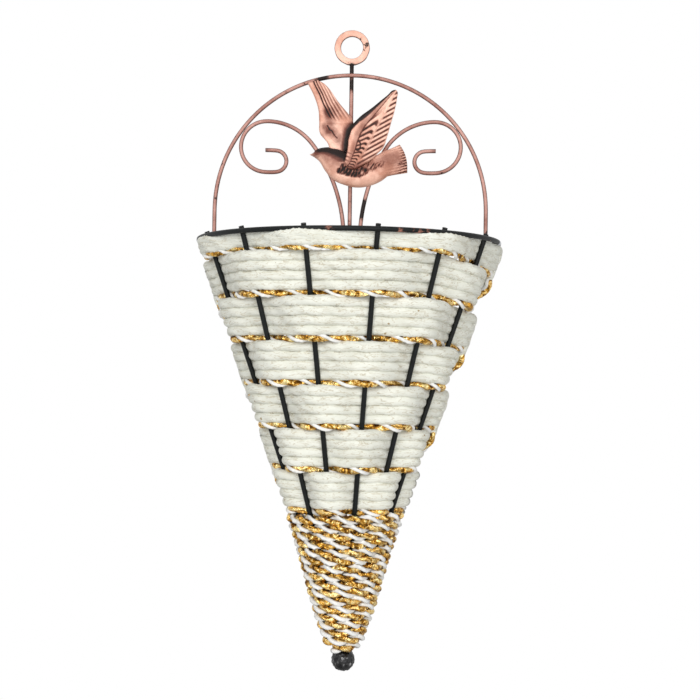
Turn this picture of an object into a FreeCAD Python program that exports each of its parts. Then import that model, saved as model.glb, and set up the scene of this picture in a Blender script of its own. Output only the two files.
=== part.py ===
import FreeCAD, Part
import math
import os

V = FreeCAD.Vector

# A wall planter: half a cone of woven paper rope on a wire frame.
# The origin is the centre of the hanging ring on the wall plane y = 0.
# +Z is up, +X is to the viewer's right, and the basket stands out to -Y.

# hanging ring, a flat stamping
ring_outer_r = 12.7
ring_hole_r = 8.0
ring_thickness = 3.0

# wires
wire_r = 1.5             # spine, arch and scrolls
rim_r = 1.75             # the loop round the mouth
rib_r = 1.75             # the ribs
wire_sides = 6           # a bent wire is swept as a polygon
seat_gap = 0.3           # clearance between pieces that only rest on each other

# mouth and cone
rim_z = -142.0           # height of the rim's centre line
mouth_r = 107.0          # radius of the rim's round front
side_y = 8.5             # how far the side ribs stand off the wall
tip_z = -431.0           # where the cone's lines meet the ball
tip_r = 0.9              # radius of the ribs' circle at tip_z
rib_stub = 3.5           # how far a rib stands above the rim
rib_step = 27.0          # angle between front ribs
front_ribs = 6
front_rib_rise = 21.0    # where a front rib ends, above tip_z
side_rib_rise = 11.0
spine_forward = 0.5      # how far the spine's low end stands out from the side ribs' middle

# arch and scrolls
arch_r = 97.7
arch_z = -118.3          # centre of the arch's half circle
scroll_r = 18.5          # outer turn of a scroll
curl_r = 8.0             # inner turn of a scroll
curl_in = 7.0            # straight run from the outer turn to the inner one
curl_end = 7.5           # straight run at the scroll's free end
neck_r = 42.0            # bend between a scroll's foot and its outer turn
scroll_angle = 37.0      # where a scroll touches the arch, above level
left_foot_x = -4.0
right_foot_x = 7.5

# ball at the tip, hammered into flats
ball_r = 8.0
ball_flats = 14
ball_belts = 9
ball_socket = 4.0

# woven wall
courses = 7
first_line_drop = 11.0   # from the rim down to the first gold cord
last_line_rise = 99.8    # from tip_z up to the last gold cord
rope_t = 5.6             # thickness of the rope wall
gold_h = 5.8             # height of a gold cord
wave_steps = 3           # straight stretches of a course from one rib to the next
turn_steps = 4           # and of its turn round a side rib

# winding at the tip
cord_d = 5.1
cord_sides = 4           # flat sides lie on the ribs and towards the next turn
cord_gap = 0.8           # least room between turns
level_share = 0.6        # wide turns are level in front and fall along their flat back
winding_end_rise = 1.5   # where the winding ends, above tip_z

# bird, stamped and standing on the scrolls
# its outlines are in hundredths of the arch's radius, from the arch's centre
body_t = 4.5
wing_t = 1.2
feather_h = 0.9
feather_w = 2.6
crown_r = 30.0           # the body is pressed over this radius
crown_share = 32.5       # height of the pressed crown's line, in the outlines' measure

# worked out from the above
spine_low_y = -side_y + spine_forward        # the spine below the weave
bar_y = -2 * wire_r - rim_r                  # the rim's back bar, in front of the spine
front_y = -3 * wire_r                        # the arch and the scrolls
bird_y = -4 * wire_r                         # the bird's back
cone_slope = math.atan((mouth_r - rim_r - rib_r - tip_r) / (rim_z - tip_z))
rib_top_r = mouth_r - (rim_r + rib_r) / math.cos(cone_slope)
weave = rib_r + rope_t / 2 + seat_gap        # how far a course swings in and out
bar_top_z = rim_z + rim_r
rib_angles = [90 + rib_step * (i - (front_ribs - 1) / 2) for i in range(front_ribs)]
stations = [0.0] + rib_angles + [180.0]      # every rib, from the right side round to the left
first_line_z = rim_z - first_line_drop
course_pitch = (first_line_z - tip_z - last_line_rise) / (courses - 1)


def rib_circle(z):
    """Radius of the ribs' circle at a height."""
    return tip_r + (rib_top_r - tip_r) * (z - tip_z) / (rim_z - tip_z)


def on_cone(z, angle, off=0.0):
    """A point off the ribs' cone, outwards."""
    a = math.radians(angle)
    r = rib_circle(z) + off
    return V(r * math.cos(a), -side_y - r * math.sin(a), z)


def save(name, shape):
    shape.exportStep("parts/%s.step" % name)
    print(name, len(shape.Solids), "solid", round(shape.Volume, 1), "mm3", shape.isValid())


def polygon_section(centre, along, r, sides, phase=0.5):
    """A closed polygon round a path's start, square to it."""
    up = V(0, 1, 0) if abs(along.y) < 0.9 else V(0, 0, 1)
    a = along.cross(up).normalize()
    b = along.cross(a).normalize()
    turns = [2 * math.pi * (i + phase) / sides for i in range(sides)]
    points = [centre + a * (r * math.cos(t)) + b * (r * math.sin(t)) for t in turns]
    return Part.makePolygon(points + points[:1])


def sweep(edges, start, along, r, sides, phase=0.5):
    section = polygon_section(start, along, r, sides, phase)
    return Part.Wire(edges).makePipeShell([section], True, False)


def line(a, b):
    return Part.LineSegment(a, b).toShape()


def arc(a, b, c):
    return Part.Arc(a, b, c).toShape()


def rod(a, b, r):
    return sweep([line(a, b)], a, (b - a).normalize(), r, wire_sides)


def bent_path(x, z, y, heading, steps):
    """Edges in an upright plane from a list of (radius, turn) and (length, None) steps."""
    edges = []
    for size, turn in steps:
        h = math.radians(heading)
        start = V(x, y, z)
        if turn is None:
            x += size * math.cos(h)
            z += size * math.sin(h)
            edges.append(line(start, V(x, y, z)))
            continue
        side = 1 if turn > 0 else -1
        cx = x - side * size * math.sin(h)
        cz = z + side * size * math.cos(h)
        spots = []
        for part in (0.5, 1.0):
            t = h + math.radians(turn * part) - side * math.pi / 2
            spots.append(V(cx + size * math.cos(t), y, cz + size * math.sin(t)))
        edges.append(arc(start, spots[0], spots[1]))
        x, z = spots[1].x, spots[1].z
        heading += turn
    return edges


# frame

def make_ring():
    disc = Part.makeCylinder(ring_outer_r, ring_thickness, V(0, 0, 0), V(0, -1, 0))
    return disc.cut(Part.makeCylinder(ring_hole_r, ring_thickness, V(0, 0, 0), V(0, -1, 0)))


def make_spine():
    # straight down the wall, then slanting forward behind the weave to the ball
    back = -wire_r
    low = spine_low_y
    knee_z = bar_top_z - 3 * rim_r
    ankle_z = winding_top_z
    lean = math.degrees(math.atan((back - low) / (knee_z - ankle_z)))
    bend_r = 8 * ring_outer_r
    cut = bend_r * math.tan(math.radians(lean / 2))
    knee = V(0, back, knee_z)
    ankle = V(0, low, ankle_z)
    slant = (ankle - knee).normalize()
    down = V(0, 0, -1)
    spots = [V(0, back, -ring_outer_r / 2)]
    edges = []
    for corner, way_in, way_out in ((knee, down, slant), (ankle, slant, down)):
        a = corner - way_in * cut
        c = corner + way_out * cut
        inward = (way_out - way_in).normalize()
        b = corner + inward * (bend_r / math.cos(math.radians(lean / 2)) - bend_r)
        edges += [line(spots[-1], a), arc(a, b, c)]
        spots.append(c)
    end = V(0, low, tip_z - ball_socket)
    edges.append(line(spots[-1], end))
    shape = sweep(edges, spots[0], down, wire_r, wire_sides)
    return shape.cut(Part.makeCylinder(ring_outer_r, 4 * wire_r, V(0, wire_r, 0), V(0, -1, 0)))


def make_arch():
    leg = arch_z - bar_top_z
    steps = [(leg, None), (arch_r, 180.0), (leg, None)]
    edges = bent_path(arch_r, bar_top_z, front_y, 90.0, steps)
    return sweep(edges, V(arch_r, front_y, bar_top_z), V(0, 0, 1), wire_r, wire_sides)


def make_scroll(foot_x):
    # the outer turn touches the inside of the arch at scroll_angle
    reach = arch_r - 2 * wire_r - scroll_r
    a = math.radians(scroll_angle)
    top_x = reach * math.cos(a)
    top_z = arch_z + reach * math.sin(a) + scroll_r
    # the foot rises from the bar and bends over into the neck
    side = 1 if foot_x < 0 else -1
    across = top_x - abs(foot_x) if side > 0 else top_x - foot_x
    free = across - neck_r
    rise = top_z - neck_r - bar_top_z
    spare = (free ** 2 + rise ** 2) / (2 * free)
    foot_r = spare + neck_r
    foot_turn = math.degrees(math.atan2(rise, spare - free))
    steps = [(foot_r, foot_turn), (neck_r, 90.0 - foot_turn), (scroll_r, 180.0),
             (curl_in, None), (curl_r, 180.0), (curl_end, None)]
    steps = [(size, None if turn is None else side * turn) for size, turn in steps]
    edges = bent_path(foot_x, bar_top_z, front_y, 90.0, steps)
    return sweep(edges, V(foot_x, front_y, bar_top_z), V(0, 0, 1), wire_r, wire_sides)


def make_rim():
    # a half circle in front, two tight corners and a straight bar at the back
    corner = side_y + bar_y
    bar_half = mouth_r - corner
    right = V(mouth_r, -side_y, rim_z)
    left = V(-mouth_r, -side_y, rim_z)
    bend = corner * math.sqrt(0.5)
    edges = [arc(right, V(0, -side_y - mouth_r, rim_z), left),
             arc(left, V(-bar_half - bend, -side_y + bend, rim_z), V(-bar_half, bar_y, rim_z)),
             line(V(-bar_half, bar_y, rim_z), V(bar_half, bar_y, rim_z)),
             arc(V(bar_half, bar_y, rim_z), V(bar_half + bend, -side_y + bend, rim_z), right)]
    return sweep(edges, right, V(0, -1, 0), rim_r, wire_sides)


def make_rib(angle, end_z):
    return rod(on_cone(rim_z + rib_stub, angle), on_cone(end_z, angle), rib_r)


def make_ball():
    # belts of flats between two small poles, with a socket for the spine
    centre = V(0, spine_low_y, tip_z - ball_r)
    rings = []
    for i in range(ball_belts + 1):
        t = math.radians(-75 + 150.0 * i / ball_belts)
        level = centre + V(0, 0, ball_r * math.sin(t))
        rings.append(ring_points(level, ball_r * math.cos(t), ball_flats))
    faces = [flat(rings[0]), flat(rings[-1])]
    for low, high in zip(rings, rings[1:]):
        for j in range(ball_flats):
            k = (j + 1) % ball_flats
            faces.append(flat([low[j], low[k], high[k], high[j]]))
    ball = Part.Solid(Part.makeShell(faces))
    socket = flat(ring_points(centre + V(0, 0, ball_r - ball_socket), wire_r, wire_sides))
    return ball.cut(socket.extrude(V(0, 0, ball_r)))


def ring_points(centre, r, count):
    turns = [2 * math.pi * (i + 0.5) / count for i in range(count)]
    return [centre + V(r * math.cos(t), r * math.sin(t), 0) for t in turns]


def flat(points):
    return Part.Face(Part.makePolygon(points + points[:1]))


# woven wall

def outside(course, station):
    """True where a course passes in front of a rib."""
    return (course + station) % 2 == 1


def along_wave(course, top, bottom, station, part):
    """The rope's upright section part of the way from one rib to the next."""
    swing = weave if outside(course, station) else -weave
    angle = stations[station] + (stations[station + 1] - stations[station]) * part
    middle = rib_circle((top + bottom) / 2)
    corners = []
    for z, edge in ((top, 1), (bottom, 1), (bottom, -1), (top, -1)):
        # the wave grows with the cone, so that the strip's sides are flat
        size = rib_circle(z) / middle
        off = swing * math.cos(math.pi * part) + edge * rope_t / 2
        corners.append(on_cone(z, angle, off * size))
    return corners


def round_rib(side, t, top, bottom):
    """The rope's upright section at an angle round a side rib, 0 outside and 180 inside."""
    a = math.radians(t)
    middle = rib_circle((top + bottom) / 2)
    corners = []
    for z, edge in ((top, 1), (bottom, 1), (bottom, -1), (top, -1)):
        rib_x = rib_circle(z)
        r = (weave + edge * rope_t / 2) * rib_x / middle
        corners.append(V(side * (rib_x + r * math.cos(a)), -side_y + r * math.sin(a), z))
    return corners


def skin(sections):
    """A solid with flat faces through sections of four corners each."""
    faces = [flat(sections[0]), flat(sections[-1])]
    for one, two in zip(sections, sections[1:]):
        # top and bottom are split the same way, so that strips lie along each other
        for i, k in ((0, 1), (1, 2), (2, 3), (0, 3)):
            faces += [flat([one[i], one[k], two[k]]), flat([one[i], two[k], two[i]])]
    return Part.Solid(Part.makeShell(faces)).removeSplitter()


def make_course(course, heights):
    """One strip of the wall with the turn that leads it to the next course."""
    top, bottom = heights(course)
    sections = [along_wave(course, top, bottom, i, j / wave_steps)
                for i in range(len(stations) - 1) for j in range(wave_steps)]
    sections.append(along_wave(course, top, bottom, len(stations) - 2, 1.0))
    if course == courses:
        return skin(sections)
    # odd courses turn on the right, where the sections begin, and even ones on the left
    side = 1 if course % 2 == 1 else -1
    if side == 1:
        sections.reverse()
    next_top, next_bottom = heights(course + 1)
    for i in range(1, turn_steps + 1):
        part = i / turn_steps
        sections.append(round_rib(side, 180 * part, top + (next_top - top) * part,
                                  bottom + (next_bottom - bottom) * part))
    return skin(sections)


def line_z(course):
    return first_line_z - course_pitch * (course - 1)


def rope_heights(course):
    above = rim_z - rim_r if course == 1 else line_z(course - 1) - gold_h / 2
    return above - seat_gap, line_z(course) + gold_h / 2 + seat_gap


def gold_heights(course):
    return line_z(course) + gold_h / 2, line_z(course) - gold_h / 2


# winding at the tip

winding_corner = side_y - seat_gap - cord_d / 2               # bend at its flat back
winding_top_z = line_z(courses) - gold_h / 2 - cord_d / 2 - 2 * seat_gap
winding_fall = winding_top_z - tip_z - winding_end_rise
winding_turns = int(winding_fall / (cord_d + cord_gap) - 0.5)  # before the last front half
level_turns = int(level_share * winding_turns)
winding_pitch = winding_fall / (winding_turns + 0.5)


def winding_side(half_turns):
    """Where the winding passes a side rib, right after whole turns and left between."""
    level = half_turns < 2 * level_turns
    z = winding_top_z - winding_pitch * (half_turns // 2 if level else half_turns / 2)
    r = rib_circle(z) + rib_r + cord_d / 2 + seat_gap
    return V(r if half_turns % 2 == 0 else -r, -side_y, z)


def front_half(right, left):
    middle = (right + left) * 0.5
    return [arc(right, middle - V(0, (right - left).Length / 2, 0), left)]


def back_half(left, right, level):
    """Round one side rib, along the wall and round the other."""
    across = V(1, 0, 0) if level else (right - left).normalize()
    bend = min(winding_corner, 0.49 * (right - left).Length)
    back = V(0, bend, 0)
    shoulder = V(0, bend * math.sqrt(0.5), 0)
    a = left + back + across * bend
    b = right + back - across * bend
    cut = across * (bend * (1 - math.sqrt(0.5)))
    along = [line(a, b)]
    if level:
        # two arcs that fall by one turn and end level
        fall = a.z - b.z
        half = math.atan(fall / (b.x - a.x))
        r = (a - b).Length ** 2 / (4 * fall)
        sag = V(r * math.sin(half), 0, r * math.cos(half) - r)
        middle = (a + b) * 0.5
        along = [arc(a, a + sag, middle), arc(middle, b - sag, b)]
    return ([arc(left, left + shoulder + cut, a)] + along
            + [arc(b, right + shoulder - cut, right)])


def make_winding():
    sides = [winding_side(i) for i in range(2 * winding_turns + 2)]
    start, end = sides[0] + V(0, cord_d, 0), sides[-1] + V(0, cord_d, 0)
    edges = [line(start, sides[0])]
    for i, (one, two) in enumerate(zip(sides, sides[1:])):
        edges += front_half(one, two) if i % 2 == 0 else back_half(one, two, i < 2 * level_turns)
    edges.append(line(sides[-1], end))
    print("winding: least gap to itself", round(least_gap(edges), 2), "mm")
    return sweep(edges, start, V(0, -1, 0), cord_d / 2, cord_sides)


def least_gap(edges):
    """The least distance between stretches of the cord more than half a turn apart."""
    points = []
    for edge in edges:
        points += edge.discretize(6)[:-1]
    per_turn = len(points) // (winding_turns + 1)
    least = 1000.0
    for i, p in enumerate(points):
        for q in points[i + per_turn // 2:i + 2 * per_turn]:
            least = min(least, p.distanceToPoint(q))
    return least - cord_d


# bird

def on_arch(point, y):
    """A point of the bird's outlines."""
    part = arch_r / 100
    return V(part * point[0], y, arch_z + part * point[1])


def plate(outline, back_y, thickness):
    """A flat plate from an outline of points, where three in brackets are an arc."""
    edges = []
    at = outline[0]
    for step in outline[1:] + outline[:1]:
        if isinstance(step[0], tuple):
            via, to = step
            edges.append(arc(on_arch(at, back_y), on_arch(via, back_y), on_arch(to, back_y)))
            at = to
        elif step != at:
            edges.append(line(on_arch(at, back_y), on_arch(step, back_y)))
            at = step
    return Part.Face(Part.Wire(edges)).extrude(V(0, -thickness, 0))


def feather(a, b, back_y):
    """A raised ridge from a to b on a plate's front."""
    p, q = on_arch(a, back_y), on_arch(b, back_y)
    along = V(q - p).normalize()
    across = along.cross(V(0, 1, 0)) * (feather_w / 2)
    corners = [p - across, p + across, p + V(0, -feather_h, 0)]
    return Part.Face(Part.makePolygon(corners + corners[:1])).extrude(q - p)


def make_body():
    outline = [(-29.9, 41.8), ((-24.8, 44.9), (-18.9, 46.8)), ((-13.8, 46.2), (-9.7, 43.3)),
               ((5.1, 39.2), (24.5, 43.6)), (36.0, 48.2), ((41.2, 39.2), (42.4, 28.6)),
               (28.0, 26.0), ((6.7, 16.6), (-13.8, 22.7)), ((-19.9, 29.0), (-22.9, 38.0))]
    body = plate(outline, bird_y, body_t)
    # pressed to a crown from beak to tail
    crown = on_arch((-arch_r, crown_share), bird_y - body_t + crown_r)
    return body.common(Part.makeCylinder(crown_r, 2 * arch_r, crown, V(1, 0, 0)))


def make_far_wing(body):
    outline = [(-17.9, 47.4), ((-24.4, 64.8), (-32.8, 93.9)), (-24.6, 95.9),
               ((-12.3, 85.8), (0.4, 68.9)), ((-5.1, 59.7), (-6.1, 44.8)), (-12.3, 43.3)]
    wing = plate(outline, bird_y, wing_t)
    ridges = [((-14.9, 47.9), (-28.1, 91.4)), ((-12.9, 47.9), (-21.0, 89.4)),
              ((-10.8, 47.9), (-13.3, 81.7)), ((-8.8, 47.9), (-6.1, 74.5))]
    for a, b in ridges:
        wing = wing.fuse(feather(a, b, bird_y - wing_t))
    return wing.cut(body)


def make_near_wing():
    outline = [(-1.2, 53.5), ((3.1, 65.3), (33.4, 88.7)), ((35.4, 69.9), (24.6, 45.4)),
               ((17.9, 36.1), (9.0, 31.4)), ((1.0, 32.0), (-2.9, 40.2))]
    back = bird_y - body_t
    wing = plate(outline, back, wing_t)
    # three rows of feathers, longer towards the tip
    rows = [((0.5, 39.2), (8.2, 34.6), 4, 8.0), ((1.5, 49.4), (17.9, 42.3), 5, 10.0),
            ((6.1, 62.2), (26.1, 54.6), 5, 12.0)]
    for first, last, count, length in rows:
        for i in range(count):
            part = i / (count - 1)
            x = first[0] + (last[0] - first[0]) * part
            z = first[1] + (last[1] - first[1]) * part
            lean = math.radians(52 + 14 * part)
            tip = (x + length * math.cos(lean), z + length * math.sin(lean))
            wing = wing.fuse(feather((x, z), tip, back - wing_t))
    return wing


os.makedirs("parts", exist_ok=True)
save("hang_ring", make_ring())
save("spine", make_spine())
save("arch", make_arch())
save("scroll_left", make_scroll(left_foot_x))
save("scroll_right", make_scroll(right_foot_x))
save("rim", make_rim())
for number, rib_angle in enumerate(reversed(rib_angles), 1):
    save("rib_front_%d" % number, make_rib(rib_angle, tip_z + front_rib_rise))
save("rib_side_right", make_rib(0.0, tip_z + side_rib_rise))
save("rib_side_left", make_rib(180.0, tip_z + side_rib_rise))
save("ball_finial", make_ball())
for number in range(1, courses + 1):
    save("rope_band_%d" % number, make_course(number, rope_heights))
    save("gold_cord_%d" % number, make_course(number, gold_heights))
save("tip_winding", make_winding())
bird = make_body()
save("bird_body", bird)
save("bird_far_wing", make_far_wing(bird))
save("bird_near_wing", make_near_wing())
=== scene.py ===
import math
import random

import bmesh
import bpy
from mathutils import Euler, Matrix, Vector, geometry, kdtree, noise


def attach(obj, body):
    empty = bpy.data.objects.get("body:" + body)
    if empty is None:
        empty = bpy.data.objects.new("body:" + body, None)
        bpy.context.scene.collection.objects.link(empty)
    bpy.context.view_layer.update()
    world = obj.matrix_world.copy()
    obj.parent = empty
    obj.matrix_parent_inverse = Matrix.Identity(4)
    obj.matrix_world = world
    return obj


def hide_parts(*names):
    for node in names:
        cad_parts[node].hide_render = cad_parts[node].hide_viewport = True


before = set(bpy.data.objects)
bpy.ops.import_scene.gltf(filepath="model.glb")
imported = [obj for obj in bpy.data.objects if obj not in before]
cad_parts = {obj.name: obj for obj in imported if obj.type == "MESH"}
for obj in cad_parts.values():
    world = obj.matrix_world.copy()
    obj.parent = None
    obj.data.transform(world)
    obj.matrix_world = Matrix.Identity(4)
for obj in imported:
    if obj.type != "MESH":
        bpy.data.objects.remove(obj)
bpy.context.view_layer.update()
mm = 0.001
random.seed(7)

# The planter's main measures, in millimetres, as the frame was drawn.
basket = dict(rimZ=-142.0, tipZ=-431.0, topRadius=103.29, tipRadius=0.9, sideY=8.5,
              ribRadius=1.75, rimRadius=1.75, mouthRadius=107.0, wireRadius=1.5,
              stations=[0.0, 22.5, 49.5, 76.5, 103.5, 130.5, 157.5, 180.0])


def ribCircle(z):
    part = (z - basket["tipZ"]) / (basket["rimZ"] - basket["tipZ"])
    return basket["tipRadius"] + (basket["topRadius"] - basket["tipRadius"]) * part


def onCone(z, angle, off=0.0):
    a = math.radians(angle)
    r = ribCircle(z) + off
    return Vector((r * math.cos(a), -basket["sideY"] - r * math.sin(a), z))


# materials

black, white = (0, 0, 0), (1, 1, 1)


def newMaterial(name):
    material = bpy.data.materials.new(name)
    material.use_nodes = True
    tree = material.node_tree
    coords = tree.nodes.new("ShaderNodeTexCoord").outputs["Object"]
    return material, tree, tree.nodes["Principled BSDF"], coords


def addNoise(tree, coords, scale, detail=4.0, roughness=0.6, distortion=0.0):
    node = tree.nodes.new("ShaderNodeTexNoise")
    node.inputs["Scale"].default_value = scale
    node.inputs["Detail"].default_value = detail
    node.inputs["Roughness"].default_value = roughness
    node.inputs["Distortion"].default_value = distortion
    tree.links.new(coords, node.inputs["Vector"])
    return node.outputs["Fac"]


def addCells(tree, coords, scale):
    # how far a point is from the middle of its cell
    node = tree.nodes.new("ShaderNodeTexVoronoi")
    node.inputs["Scale"].default_value = scale
    tree.links.new(coords, node.inputs["Vector"])
    return node.outputs["Distance"]


def addRamp(tree, factor, stops):
    node = tree.nodes.new("ShaderNodeValToRGB")
    ramp = node.color_ramp
    while len(ramp.elements) < len(stops):
        ramp.elements.new(0.5)
    for element, (position, colour) in zip(ramp.elements, stops):
        element.position = position
        element.color = (*colour, 1.0)
    tree.links.new(factor, node.inputs["Fac"])
    return node.outputs["Color"]


def addMask(tree, factor, low, high, most=1.0):
    # black up to low, and a grey of most from high on
    return addRamp(tree, factor, [(low, black), (high, (most, most, most))])


def addMix(tree, factor, first, second, blend="MIX"):
    node = tree.nodes.new("ShaderNodeMix")
    node.data_type = "RGBA"
    node.blend_type = blend
    sockets = [s for s in node.inputs if s.name in ("Factor", "A", "B") and s.enabled]
    for socket, value in zip(sockets, (factor, first, second)):
        if isinstance(value, (int, float)):
            socket.default_value = value
        elif isinstance(value, tuple):
            socket.default_value = (*value, 1.0)
        else:
            tree.links.new(value, socket)
    return [s for s in node.outputs if s.enabled][0]


def addMath(tree, kind, first, second=None):
    node = tree.nodes.new("ShaderNodeMath")
    node.operation = kind
    for socket, value in zip(node.inputs, (first, second)):
        if isinstance(value, (int, float)):
            socket.default_value = value
        elif value is not None:
            tree.links.new(value, socket)
    return node.outputs[0]


def addWander(tree, fleck, reach):
    # noise as a shift either way, which makes the edge of a mask ragged
    return addMath(tree, "MULTIPLY", addMath(tree, "SUBTRACT", fleck, 0.5), reach)


def addAttribute(tree, name):
    node = tree.nodes.new("ShaderNodeAttribute")
    node.attribute_name = name
    return node.outputs["Fac"]


def addBump(tree, shader, height, strength, distance, normal=None):
    node = tree.nodes.new("ShaderNodeBump")
    node.inputs["Strength"].default_value = strength
    node.inputs["Distance"].default_value = distance
    tree.links.new(height, node.inputs["Height"])
    if normal:
        tree.links.new(normal, node.inputs["Normal"])
    tree.links.new(node.outputs["Normal"], shader.inputs["Normal"])
    return node.outputs["Normal"]


def stretched(tree, coords, scale):
    node = tree.nodes.new("ShaderNodeMapping")
    node.inputs["Scale"].default_value = scale
    tree.links.new(coords, node.inputs["Vector"])
    return node.outputs["Vector"]


def addSpots(tree, coords, fleck, spots, mask=0.0):
    # ragged patches, each with its centre and reach in millimetres, on top of a mask
    for centre, reach in spots:
        node = tree.nodes.new("ShaderNodeVectorMath")
        node.operation = "DISTANCE"
        tree.links.new(coords, node.inputs[0])
        node.inputs[1].default_value = tuple(c * mm for c in centre)
        away = addMath(tree, "DIVIDE", node.outputs["Value"], reach * mm)
        ragged = addMath(tree, "ADD", away, addWander(tree, fleck, 1.2))
        spot = addRamp(tree, ragged, [(0.75, white), (1.0, black)])
        mask = addMath(tree, "MAXIMUM", mask, spot)
    return mask


# dark green-black paint, rubbed through to copper in places, with a painted highlight of pale grey
# on the rim's two ends
wirePaint = dict(colour=(0.004, 0.005, 0.005), worn=(0.30, 0.13, 0.09), glintGrey=(0.66, 0.67, 0.70),
                 wornShare=0.66, patchScale=60.0, fleckScale=420.0, streakScale=260.0,
                 grainScale=900.0, roughness=0.5, shine=0.18,
                 wornSpots=[((42.0, -106.5, -141.0), 9.0), ((52.0, -101.5, -141.0), 8.0),
                            ((-6.0, -115.0, -141.0), 4.0)],
                 # the last spots are a painted highlight in pale grey on the rim's two ends
                 rimGlintSpots=[((-104.5, -22.0, -140.5), 13.0), ((106.0, -20.0, -140.5), 8.0)])


def makeDarkPaint():
    material, tree, shader, coords = newMaterial("darkPaint")
    patches = addNoise(tree, coords, wirePaint["patchScale"], 6.0, 0.75)
    worn = addMask(tree, patches, wirePaint["wornShare"], wirePaint["wornShare"] + 0.03)
    flecks = addNoise(tree, coords, wirePaint["fleckScale"], 5.0, 0.75)
    streaks = addMask(tree, addNoise(tree, coords, wirePaint["streakScale"], 3.0), 0.50, 0.58)
    rubbed = addSpots(tree, coords, flecks, wirePaint["wornSpots"])
    worn = addMath(tree, "MAXIMUM", worn, addMath(tree, "MULTIPLY", rubbed, streaks))
    # painted highlight: pale grey patches where the rim's two ends catch the light
    glint = addSpots(tree, coords, flecks, wirePaint["rimGlintSpots"])
    grain = addNoise(tree, coords, wirePaint["grainScale"], 3.0)
    shade = addRamp(tree, grain, [(0.35, tuple(0.6 * c for c in wirePaint["colour"])),
                                  (0.75, tuple(2.2 * c for c in wirePaint["colour"]))])
    tone = addMix(tree, worn, shade, wirePaint["worn"])
    tone = addMix(tree, glint, tone, wirePaint["glintGrey"])
    tree.links.new(tone, shader.inputs["Base Color"])
    shader.inputs["Roughness"].default_value = wirePaint["roughness"]
    shader.inputs["Specular IOR Level"].default_value = wirePaint["shine"]
    addBump(tree, shader, grain, 0.25, 0.0002)
    return material


# copper paint, mottled between a mid and a pale tone, with painted shade on the sides of wires and
# ring that turn away from the front, and dark patina in flecks and spots
copperPaint = dict(pale=(0.56, 0.31, 0.26), mid=(0.32, 0.145, 0.115), edge=(0.075, 0.028, 0.022),
                   birdPale=(0.94, 0.58, 0.455), birdMid=(0.56, 0.26, 0.18),
                   brown=(0.20, 0.065, 0.045), dark=(0.012, 0.006, 0.005),
                   wireFlecks=0.61, ringFlecks=0.57, softScale=45.0, fleckScale=140.0,
                   grainScale=420.0, roughness=0.4, fleckRoughness=0.6, metallic=0.12, shine=0.2,
                   spots=[((9.4, -4.5, -117.0), 9.0), ((0.0, 0.0, -15.5), 6.0),
                          ((0.0, 1.5, -27.0), 7.5), ((-21.0, -4.5, -24.0), 5.5),
                          ((8.5, -4.5, -136.0), 3.5)])


def makeCopperPaint(name, mid, pale, flecks=None):
    # without flecks the dark follows the values the piece carries: patina in its hollows, and
    # painted shade beside the near wing, at its root and on the upper body
    material, tree, shader, coords = newMaterial(name)
    mid, pale = copperPaint[mid], copperPaint[pale]
    soft = addNoise(tree, coords, copperPaint["softScale"], 5.0, 0.65)
    fleck = addNoise(tree, coords, copperPaint["fleckScale"], 7.0, 0.72, 0.4)
    wander = addWander(tree, fleck, 0.5)
    if flecks is None:
        tone = addRamp(tree, soft, [(0.35, mid), (0.6, pale)])
        depth = addMath(tree, "ADD", addAttribute(tree, "patinaAndShade"), wander)
        tone = addMix(tree, addMask(tree, depth, 0.05, 0.60), tone, copperPaint["brown"])
        mask = addMask(tree, depth, 0.55, 0.92)
    else:
        tone = addRamp(tree, soft, [(0.35, mid), (0.62, pale)])
        # painted shade: the colour goes towards the dark edge tone where a surface faces sideways,
        # away from the front
        side = addMath(tree, "ADD", addAttribute(tree, "side"), wander)
        tone = addMix(tree, addMask(tree, side, 0.10, 0.50, 0.9), tone, copperPaint["edge"])
        mask = addMask(tree, fleck, copperPaint[flecks], copperPaint[flecks] + 0.05)
        mask = addSpots(tree, coords, fleck, copperPaint["spots"], mask)
    tone = addMix(tree, mask, tone, copperPaint["dark"])
    tree.links.new(tone, shader.inputs["Base Color"])
    shader.inputs["Metallic"].default_value = copperPaint["metallic"]
    shader.inputs["Specular IOR Level"].default_value = copperPaint["shine"]
    rough = addRamp(tree, fleck, [(0.3, (copperPaint["roughness"],) * 3),
                                  (0.8, (copperPaint["fleckRoughness"],) * 3)])
    tree.links.new(rough, shader.inputs["Roughness"])
    addBump(tree, shader, addNoise(tree, coords, copperPaint["grainScale"], 5.0, 0.7), 0.35, 0.0003)
    return material


# off-white twisted paper, specked, with painted shade in fine creases along the rope and in small
# dents
ropePaper = dict(pale=(0.82, 0.825, 0.74), shade=(0.72, 0.72, 0.63), line=(0.80, 0.79, 0.72),
                 dent=(0.42, 0.38, 0.27), crease=(0.50, 0.44, 0.31), speck=(0.36, 0.27, 0.15),
                 blotchScale=55.0, fibreScale=520.0, creaseScale=75.0, dentScale=130.0,
                 speckScale=95.0, speckPatches=38.0, lineShare=0.6, roughness=0.88, sheen=0.15)


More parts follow.
